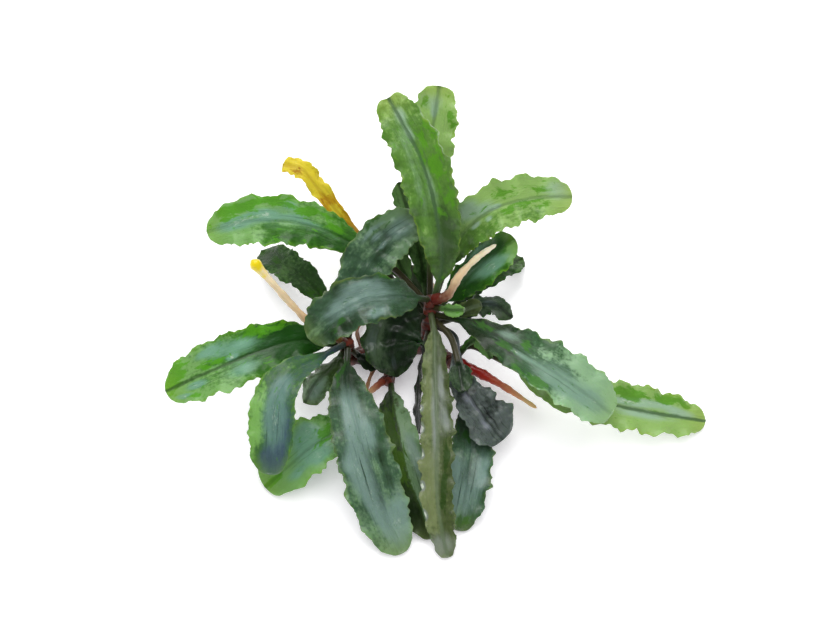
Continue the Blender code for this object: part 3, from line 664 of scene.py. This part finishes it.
grow_leaf(
    "leaf_centre_crumpled", "dark", "middle_shoot", 0.55, 6.9,
    [(-5.6, -1.5, 11.5), (-8.3, -4.5, 10.5), (-8.8, -8.5, 9.5), (-7.9, -12, 5)],
    face=(0, -1, 3), petiole=0.08, curl=0.15, wave=0.9, base_power=0.4, tip_power=0.6, ruffle=0.7,
    tones=(0.1, 0.25),
    tone=[(0.5, -0.65, 3.2, 1.8, 0.6), (0.79, 0.5, 2, 2, -0.2)],
    bloom=[(0.53, -0.7, 2.6, 1.4, 0.6), (0.8, 0, 1.8, 0.5, 1)],
    lines=[(0.64, 0.1, 5, 4, 1)])
grow_leaf(
    "leaf_front_long", "olive", "middle_shoot", 0.66, 3.6,
    [(0.5, -6, 12), (0.5, -14, 11.5), (1, -29, 10), (1, -44, 6), (3, -55, 0.8)],
    face=(0, -1, 4), petiole=0.08, curl=0.3, base_power=0.4, tip_power=0.3,
    tones=(0.3, 0.4, -0.15, 0, 0.3),
    tone=[(0.32, -0.45, 9, 0.8, 0.15), (0.38, -0.75, 0.7, 0.8, 0.8), (0.58, -0.65, 0.7, 0.8, 0.8),
        (0.17, -0.85, 0.7, 0.7, 0.7), (0.92, -0.45, 3, 3, -0.15), (0.73, -0.55, 10, 1.4, 0.2)],
    blotch=[(0.58, 0.55, 3.8, 0.9, 1.3), (0.75, 0.35, 4.6, 0.8, 1.3), (0.64, -0.6, 12, 1.2, -0.8)],
    bloom=[(0.43, 0.55, 2.6, 1, 0.8), (0.27, 0.4, 5, 0.7, 0.7), (0.38, -1, 0.8, 0.55, 2.4),
        (0.47, -1, 0.8, 0.55, 2.4), (0.58, -0.95, 0.8, 0.55, 2.4), (0.71, -0.9, 0.8, 0.55, 2.4),
        (0.82, -1, 0.9, 0.55, 2.4), (0.95, -0.35, 2.4, 3, 1), (0.43, -0.15, 9, 0.6, 0.6)])
grow_leaf(
    "leaf_front_edge_on", "dark", "middle_shoot", 0.2, 2,
    [(-2.3, -9, 7), (-3, -17.5, 6), (-3, -25, 2)],
    face=(-3, -1, 1), curl=0.1, wave=0.3, tones=(-0.3, -0.2))
grow_leaf(
    "leaf_right_upper", "fresh", "middle_shoot", 0.55, 4.3,
    [(7, 7.5, 14), (12, 11, 17), (18.5, 15.5, 19)],
    face=(1, -1, 2), petiole=0.15, curl=0.5, tones=(-0.3, 0.45, -0.3, 0, 0.3), band=0.3,
    tone=[(0.84, -0.55, 2.5, 1.2, 0.2), (0.67, 0.25, 3.5, 1.6, -0.6)],
    blotch=[(0.79, 0.3, 4, 2.4, -1.5)],
    bloom=[(0.59, -0.35, 3.2, 1.4, 1), (0.61, 0.75, 2.4, 1.2, 0.5), (0.72, -0.5, 3, 0.8, 0.7)])
grow_leaf(
    "leaf_back_floor", "shaded", "middle_shoot", 0.12, 3,
    [(9.5, 11.5, 6.5), (15.5, 16.5, 6), (21, 23.5, 0.8)],
    face=(1, 0, 3), petiole=0.25, curl=0.3, wave=0.5, tones=(0.1, 0.35))
grow_leaf(
    "leaf_right_small", "dark", "middle_shoot", 0.28, 2.3,
    [(6, 2.5, 7.5), (10, 4, 9.5), (14, 5, 8.5), (18, 4, 5)],
    face=(0, -1, 3), curl=-0.3, tones=(0.2, 0.4),
    bloom=[(0.59, 0.05, 2.2, 0.8, 0.9)])
grow_leaf(
    "leaf_right_long", "sage", "middle_shoot", 0.6, 6.2,
    [(8, -4, 14), (16, -11.5, 17), (28.5, -20, 16), (38.5, -26, 11.5)],
    face=(1, -1, 4), petiole=0.12, base_power=0.75, tip_power=0.3, tones=(-0.5, 0.7, 0, 0, 0.2),
    band=0.25,
    tone=[(0.84, -1, 4, 0.9, 0.25), (0.86, -0.1, 4, 3, 0.2), (0.57, 0.45, 3, 1, 0.15),
        (0.71, 0.25, 4, 1.4, -0.15), (0.39, -0.15, 2, 1, -0.3), (0.58, -0.3, 4, 1.4, -0.2)],
    blotch=[(0.44, 0.35, 1.4, 1.1, 1.2), (0.59, 0.45, 1, 0.7, 0.7), (0.16, 0.25, 4, 1.2, 0.9),
        (0.36, -0.1, 2, 1.1, 1.5), (0.47, -0.8, 1.6, 1, 1.3), (0.6, -0.75, 3, 1.3, 1.5),
        (0.66, 0.55, 4, 1.4, -0.6)],
    bloom=[(0.41, -0.1, 1.8, 0.35, 1.2), (0.32, 0.45, 3, 0.9, 0.6), (0.7, -0.3, 6, 2.4, 0.9),
        (0.89, -0.05, 3.5, 2.4, 1), (0.48, -0.1, 3, 0.5, 0.7), (0.67, 0.15, 5, 2.5, 0.3)],
    lines=[(0.78, -0.2, 6, 0.8, 0.4)])
grow_leaf(
    "leaf_bud", "fresh", "middle_shoot", 0.78, 1.5,
    [(4, -1, 15), (7, -2, 16.5)],
    face=(0, -1, 1), petiole=0.3, curl=0.5, wave=0.1, tones=(0.4, 0.6))
grow_leaf(
    "leaf_right_young", "olive", "middle_shoot", 0.46, 1.9,
    [(6, 2, 10), (11, 3, 11.5)],
    petiole=0.3, curl=0.2, wave=0.2, tones=(0, 0.2))
grow_leaf(
    "leaf_front_purple", "purple", "middle_shoot", 0.35, 5.6,
    [(5, -4.5, 9.5), (5.4, -11, 10.2), (6.3, -17, 10.1), (9.8, -22.8, 8.7), (15.2, -28.5, 4.9)],
    face=(1, -1, 3), petiole=0.08, curl=0.3, wave=0.9, base_power=2, tip_power=0.35, ruffle=0.5,
    tones=(0.25, 0.45), band=0.5,
    tone=[(0.93, 0.6, 2.6, 2, 0.5), (0.79, 0.35, 3, 2, -0.15)],
    bloom=[(0.69, -0.05, 3, 0.35, 1.3), (0.63, -0.25, 1.6, 0.8, 0.8), (0.84, -0.2, 2, 0.6, 0.9),
        (0.21, 1, 2.6, 0.8, 1), (0.45, 0.35, 2, 0.5, 0.7)],
    lines=[(0.81, 0.25, 6, 3, 0.8)])
grow_leaf(
    "leaf_right_cupped", "dark", "middle_shoot", 0.5, 2.5,
    [(4, -6.5, 12.5), (5.5, -14, 14), (6.5, -21.5, 13.5)],
    petiole=0.7, curl=0.5, wave=0.2, base_power=0.5, tip_power=0.45, tones=(0.2, 0.4))


# Right and front shoots: three long leaves that come out from under the crown and bend down to
# the surface, and a small curled one.
grow_leaf(
    "leaf_far_right", "light", "right_shoot", 0.35, 5.3,
    [(8.5, -4.5, 6), (15, -9.5, 8), (28, -18.5, 9), (45, -21.5, 6), (60, -21.5, 1.5)],
    face=(0, -1, 4), petiole=0.3, wave=0.9, tones=(0.45, 0.8, 0, 0.1, 0.2), band=0.85,
    tone=[(0.71, 0.95, 1.2, 0.8, 0.4), (0.66, -0.65, 8, 0.5, -0.15)],
    blotch=[(0.6, 0.6, 3.8, 1.3, 1.4), (0.78, 0.65, 2.4, 1.1, 1.3), (0.89, 0.65, 1.8, 0.9, 1.2),
        (0.53, 0.6, 2, 1, 1.2)],
    bloom=[(0.72, 0.4, 5, 0.6, 1.2), (0.87, 0.2, 3.2, 0.8, 1.1), (0.67, -0.15, 6, 1.1, 0.8),
        (0.46, 0.75, 1.6, 1, 0.9), (0.57, 0.25, 5, 0.6, 1.4)])
grow_leaf(
    "leaf_front_right", "grey", "right_shoot", 0.75, 5,
    [(6.5, -16, 4), (8.5, -27, 4.5), (7.5, -38, 4), (5.5, -48.5, 0.8)],
    face=(0, -1, 4), petiole=0.25, tones=(0.15, 0.35, -0.1, 0, 0.4), band=0.3,
    tone=[(0.61, -0.15, 3, 1.6, -0.3)],
    blotch=[(0.92, 0.15, 1.8, 1.4, 1.3), (0.27, -0.3, 2, 1.6, 1.2)],
    bloom=[(0.56, -0.65, 3.6, 1.4, 1), (0.8, -0.7, 3, 1.6, 1), (0.55, 0.6, 4, 1.4, 0.9),
        (0.77, 0.05, 5, 3, 0.5)],
    lines=[(0.63, -0.05, 5, 2.2, 1)])
grow_leaf(
    "leaf_right_curled", "fresh", "right_shoot", 0.6, 1.4,
    [(9, -5, 9), (11.5, -7.5, 10.5), (13, -10, 9)],
    face=(1, -1, 2), petiole=0.25, curl=-0.5, wave=0.2, tones=(0.2, 0.6))
grow_leaf(
    "leaf_front_olive", "moss", "front_shoot", 0.95, 4.4,
    [(-8.5, -22.5, 6), (-6.5, -32, 7), (-3.5, -41.5, 4), (-0.5, -50.5, 0.8)],
    face=(0, -1, 4), petiole=0.05, tones=(-0.2, 0.35, 0.5, -0.25, 0.1), band=0,
    tone=[(0.87, -0.45, 3, 1.4, -0.3), (0.29, -0.2, 4, 1.6, -0.15), (0.59, -0.05, 5, 1.6, 0.35)],
    blotch=[(0.29, -0.45, 6, 2.2, 1.6), (0.53, -0.45, 5, 2, 1.5)],
    bloom=[(0.46, 0.5, 4, 1.2, 0.8), (0.59, 0.5, 4, 1, 0.8)],
    lines=[(0.54, 0.2, 6, 1, 0.8), (0.47, -0.15, 9, 0.8, 0.8)])


# Left shoot: a second rosette of the same thick leaves, the big ones arching out over each other
# to the left and front. Each petiole grows out of the shoot's side.
grow_leaf(
    "leaf_far_left_lower", "fresh", "left_shoot", 0.5, 6.1,
    [(-29, -7.5, 12.5), (-37.5, -11.5, 14.5), (-47, -16, 14), (-58, -18.5, 9)],
    face=(0, -1, 3), petiole=0.1, tones=(-0.15, 0.55, 0, 0, 0.2),
    tone=[(0.7, 0.95, 3, 1.2, 0.2), (0.22, 0, 6, 3, -0.5), (0.4, 0, 6, 3, -0.15),
        (0.9, -0.15, 3, 3, -0.1), (0.64, -0.25, 3, 0.7, -0.25)],
    blotch=[(0.36, -0.75, 4.4, 1.4, 1.3), (0.9, -0.6, 2.8, 1.8, 1.4), (0.66, -0.25, 4.4, 0.7, 1.2),
        (0.38, 0.55, 2.2, 1.2, 0.3), (0.83, 0.75, 2.2, 0.7, 0.9), (0.24, 0, 5, 2.4, -1.2),
        (0.97, -0.3, 2.2, 2.6, 1)],
    bloom=[(0.5, -0.45, 3.8, 1.5, 0.85), (0.65, -0.65, 3, 1.8, 0.7), (0.57, -0.15, 1, 0.6, 1.5),
        (0.54, 0.45, 3.4, 1.6, 0.7), (0.81, 0.3, 2.2, 0.7, 1.4), (0.9, 0.65, 1.8, 0.5, 1.5),
        (0.71, -0.65, 3, 0.5, 0.8)],
    lines=[(0.8, 0.35, 4, 1, 0.8)])
grow_leaf(
    "leaf_left_upright", "grey", "left_shoot", 0.95, 5.7,
    [(-17, 3, 16), (-14.2, 9, 19.5), (-9.9, 13.3, 22), (-5.2, 16.2, 23.5), (-3, 17.5, 23.5)],
    petiole=0.12, ruffle=0.4, tones=(0.1, 0.45, 0, 0, 0.2), band=0.25,
    tone=[(0.73, 0.15, 1.4, 0.8, -0.4), (0.56, -0.2, 3.2, 1, -0.3), (0.85, 0.65, 3, 2, 0.2),
        (0.74, -0.75, 2, 1.6, 0.25), (0.43, 0.45, 3, 1.6, -0.1)],
    blotch=[(0.71, 0.85, 2.4, 1.2, 0.9)],
    bloom=[(0.86, 0.05, 3.4, 2.2, 1.1), (0.66, 0.35, 1.2, 0.35, 1.5),
        (0.65, -0.05, 0.9, 0.35, 1.4), (0.66, 0.65, 3, 0.4, 1)],
    lines=[(0.51, -0.1, 4, 1.6, 0.7), (0.66, 0, 4, 3, 1.2)])
grow_leaf(
    "leaf_left_back_floor", "shaded", "left_shoot", 0.35, 3.7,
    [(-24, 5, 9), (-29, 12, 9), (-35, 19, 6), (-39.5, 25.5, 0.8)],
    face=(0, -1, 3), petiole=0.25, wave=0.45, tones=(0.2, 0.35), band=0.2,
    tone=[(0.85, 0, 3, 2, -0.2)],
    blotch=[(0.13, 0.15, 2.6, 1.4, 1.2), (0.72, 0.05, 2.6, 0.8, 1.2)],
    bloom=[(0.47, -0.05, 3, 1.8, 0.2)])
grow_leaf(
    "leaf_left_arching", "slate", "left_shoot", 0.9, 5.2,
    [(-25, -12.5, 13), (-30, -18, 16), (-33.5, -25, 16), (-34, -33.5, 13), (-34.5, -39.5, 9)],
    face=(-1, -1, 4), petiole=0.1, wave=0.25, base_power=0.9, tones=(0, 0.3, 0, 0.1, 0.4), band=0.1,
    tone=[(0.93, -0.05, 4, 3, -0.7), (0.75, 0.5, 6, 1.4, -0.3), (0.3, 0.55, 6, 3, 0.1),
        (0.74, -0.7, 9, 1.2, 0.2)],
    blotch=[(0.8, -0.6, 8, 1.2, -0.8), (0.57, -0.55, 3, 0.9, 0.6)],
    bloom=[(0.69, 0.15, 6, 2.6, 1), (0.45, 0, 4, 2, 0.6), (0.21, -0.15, 6, 3, -1)],
    lines=[(0.74, 0.15, 5, 2.2, 0.5)])
grow_leaf(
    "leaf_left_floor", "fresh", "left_shoot", 0.2, 6.6,
    [(-19, -17.5, 5), (-20.5, -26, 6), (-27.5, -31.5, 5), (-36, -38, 0.8)],
    face=(0, 0, 1), petiole=0.35, tones=(0.2, 0.65, 0, 0, 0.3), band=0.25,
    tone=[(0.55, -0.35, 0.7, 0.6, -0.6), (0.94, 0.3, 2.4, 2.4, 0.4)],
    blotch=[(0.09, -1, 2.2, 1, 1.3), (0.36, 0.1, 2.6, 0.6, 1), (0.93, 0, 2.4, 1, 1.4),
        (0.31, -0.25, 3, 1.2, 1.2)],
    bloom=[(0.49, 0.5, 3, 1.8, 1), (0.73, 0.45, 2.4, 1.4, 0.7), (0.44, -0.55, 2.4, 2, 0.9),
        (0.53, 0.05, 4, 2.6, 0.6), (0.54, -0.45, 2.4, 2, 0.5)])
grow_leaf(
    "leaf_left_folded", "moss", "left_shoot", 0.5, 3.4,
    [(-22, -12, 9), (-25.5, -16, 8.5), (-28, -18.5, 4.5)],
    face=(-1, -1, 3), petiole=0.15, curl=-0.5, tones=(0.15, 0.4, 0, 0, 0.1),
    bloom=[(0.72, 0.25, 3, 1.4, 1)])
grow_leaf(
    "leaf_front_left_long", "grey", "left_shoot", 0.8, 6.2,
    [(-18.5, -18, 11), (-16.5, -28.5, 13), (-13.5, -39, 10), (-10, -47.5, 4), (-6.5, -54, 0.8)],
    face=(0, -1, 4), petiole=0.1, tones=(0, 0.5, 0, -0.05, 0.4), band=0.15,
    tone=[(0.13, 0.15, 5, 1.6, -0.25), (0.56, 0.5, 3, 0.8, -0.4), (0.66, 0.55, 2.6, 0.7, -0.3),
        (0.6, 0.05, 6, 0.4, -0.35), (0.76, 0.1, 6, 0.4, -0.35)],
    blotch=[(0.05, -0.6, 4.6, 0.7, 1.3), (0.75, -0.95, 3, 0.6, 1)],
    bloom=[(0.39, -0.25, 5, 1.2, 0.7), (0.57, -0.45, 4.4, 2.2, 1), (0.85, 0.4, 4, 2, 0.8),
        (0.43, 0.3, 3, 1.6, 0.9), (0.73, -0.25, 5, 1.6, 0.9), (0.62, -0.05, 4, 0.5, 0.2),
        (0.78, -0.15, 5, 0.5, 0.2), (0.26, -0.05, 5, 2.2, 0.5), (0.8, 0.75, 6, 1.6, 0.5),
        (0.91, 0.1, 4, 3, 0.5)],
    lines=[(0.69, -0.05, 7, 2, 1.1), (0.45, -0.3, 6, 1.5, 0.5), (0.59, -0.1, 4, 0.8, 1)])
grow_leaf(
    "leaf_left_inner", "dark", "left_shoot", 0.4, 1.7,
    [(-15, -8.5, 6.5), (-12, -9.5, 5)],
    petiole=0.3, curl=0.3, wave=0.2, tones=(0.1, 0.3))


# Withered leaf: an old leaf that has gone yellow and limp and rolled up along its length. It
# turns brown towards its petiole, which still holds on to the middle shoot.
limp_skin = leaf_material("withered_leaf_yellow", deep="946810", mid="bc920c", pale="d4c02c",
                          blotch="9c680a", bloom="d8cc3c", margin="ccb824", rib="8a580c",
                          gloss=0.15)
LOOKS["withered"] = ("withered", limp_skin)
grow_leaf(
    "withered_leaf", "withered", "middle_shoot", 0.3, 2.3,
    [(-6, 5.5, 9), (-13, 18, 11), (-19, 24, 13), (-24.5, 29, 17), (-29.5, 34, 20.5), (-34, 36, 20)],
    face=(1, -1, 2), petiole=0.5, wave=0.5, tip_power=0.2, prefix="rolled_", tones=(-0.1, 0.85),
    band=0.3,
    tone=[(0.42, 0.2, 3, 3, -0.15), (0.33, 0, 2, 1.4, 0.35)],
    blotch=[(0.53, 0.55, 2, 1, 0.5), (0.38, 1, 2, 1, 0.2), (0.85, 0.55, 3, 0.8, 0.9),
        (0.33, 0, 3, 2, -0.8)],
    lines=[(0.72, 0.55, 8, 2, 0.8)])
bpy.data.objects.remove(leaf_stock)


# Leafless stalks: soft stems whose leaves have rotted off. They are red or brown where they leave
# the shoot, and bleached to tan, cream or yellow at the broken end.
STALK_SIDES = 16
STALK_ROWS = 48
STALK_FACE = (0.3, -0.4, 1)
KNOB_SETBACK = 1.4
KNOB_LENGTH = 1.3
END_ROUNDNESS = 60
STALK_GAP = 0.02


def stalk_material(name, base, middle, end, tip):
    """A damp stalk skin, mottled every 2 mm, whose colour changes from its base to its tip."""
    material, tree, shader = new_material(name)
    place = add_node(tree, "TexCoord").outputs["Object"]
    along = add_node(tree, "Attribute", attribute_name="along").outputs["Fac"]
    mottle = add_node(tree, "TexNoise", {"Vector": place, "Scale": 0.5 / MM, "Detail": 4})
    moved = add_node(tree, "Math", {0: mottle, 1: 0.25, 2: along}, operation="MULTIPLY_ADD")
    colours = add_node(tree, "ValToRGB", {"Fac": moved})
    stops = colours.color_ramp.elements
    stops[0].position = 0.25
    stops.new(0.55)
    stops.new(0.95)
    for stop, colour in zip(stops, (base, middle, end, tip)):
        stop.color = linear(colour)
    bump = add_node(tree, "Bump", {"Strength": 0.5, "Distance": 0.2 * MM, "Height": mottle})
    set_inputs(tree, shader, {"Base Color": colours, "Normal": bump, "Roughness": 0.4,
                              "Coat Weight": 0.3, "Subsurface Weight": 0.15,
                              "Subsurface Scale": 0.8 * MM})
    return material


YELLOW_TIPPED = stalk_material("yellow_tipped_stalk", "6a4a20", "c4a880", "d8c8a4", "dcc80a")
CREAM = stalk_material("bleached_leafless_stalk", "5c1a10", "cdb38c", "dccfb0", "e6dcc4")
RED = stalk_material("red_leafless_stalk", "840404", "b42c1c", "cc9868", "c8a870")
BROWN = stalk_material("torn_brown_red_stalk", "5a140c", "8c4a32", "c09870", "dcc8a4")
stalk_stock = blank_rod("stalk_stock", STALK_SIDES, STALK_ROWS)
around_number, to_end = rod_places(stalk_stock, STALK_SIDES, STALK_ROWS)
angle = around_number / STALK_SIDES * 2 * math.pi


def grow_stalk(node, material, slot, stem_name, seat, start_radius, end_radius, route,
               knob=0.0, taper=1.0, prefix="broken_"):
    """Shape one round stalk or root along its route, and let it stand for its CAD node.

    knob is how much its end swells, and a taper below 1 makes it narrow sooner.
    """
    line = [seat_in(stem_name, seat, route[0]), *route]
    length = line_length(line)
    travelled = to_end * length
    radius = start_radius + (end_radius - start_radius) * to_end ** taper
    radius *= 1 + 0.07 * np.sin(1.9 * travelled) + 0.05 * np.sin(4.3 * travelled + 1)
    radius += knob * np.exp(-((travelled - length + KNOB_SETBACK) / KNOB_LENGTH) ** 2)
    radius *= np.sqrt(np.clip(1 - to_end ** END_ROUNDNESS, 0.05, 1))
    reach = radius * (1 + 0.08 * np.sin(2 * angle + 0.9 * travelled))
    points = round_points(line, to_end, STALK_FACE, reach, angle)
    points[:, 2] = np.maximum(points[:, 2], STALK_GAP)
    shape_copy(stalk_stock, prefix, node, slot, material, points, {"along": to_end})


grow_stalk("cut_stalk_left", YELLOW_TIPPED, "cut_stalk", "left_shoot", 0.75, 0.85, 0.8,
           [(-26, -3.5, 12), (-31, 1, 14), (-35.5, 5, 17), (-40, 9, 20)], knob=0.7)
grow_stalk("cut_stalk_middle", CREAM, "cut_stalk", "middle_shoot", 0.95, 1.2, 0.5,
           [(3.5, 1, 18), (6, 4, 21), (10, 7.5, 23), (14, 9.5, 25)])
grow_stalk("cut_stalk_back", CREAM, "cut_stalk", "middle_shoot", 0.1, 0.7, 0.6,
           [(-6, 5, 6.5), (-10.5, 10, 9)])
grow_stalk("red_stalk_right", RED, "red_stalk", "right_shoot", 0.7, 1.8, 0.4,
           [(10.3, -11.7, 6.1), (15.7, -16.2, 7.4), (22.7, -21.8, 7.4)], taper=0.6)
grow_stalk("red_stalk_front", BROWN, "red_stalk", "front_shoot", 0.8, 0.9, 0.6,
           [(-12, -13.5, 3.8), (-15, -16, 3)])


# Roots: short, thin and wiry, light brown, and holding on to nothing. They leave the rhizome low
# at its sides and lie along the surface.
ROOT_END_RADIUS = 0.35
ROOT = stalk_material("damp_young_root", "6a3a20", "9a6a48", "b89070", "c8a888")
for root_name, seat, root_radius, route in [
        ("root_back_left", 0.25, 0.5, [(-17, 3, 1.2), (-15, 9, 0.6), (-18, 14, 0.6)]),
        ("root_back_middle", 0.55, 0.55, [(-9, 4, 1.2), (-11, 9, 0.6), (-7, 14, 0.6)]),
        ("root_back_right", 0.85, 0.5, [(-1, 6, 1.2), (2, 11, 0.6), (0, 17, 0.6)]),
        ("root_front_left", 0.4, 0.5, [(-14, -10, 1), (-15, -16, 0.6)])]:
    grow_stalk(root_name, ROOT, "root", "rhizome", seat, root_radius, ROOT_END_RADIUS, route,
               prefix="wiry_")
bpy.data.objects.remove(stalk_stock)
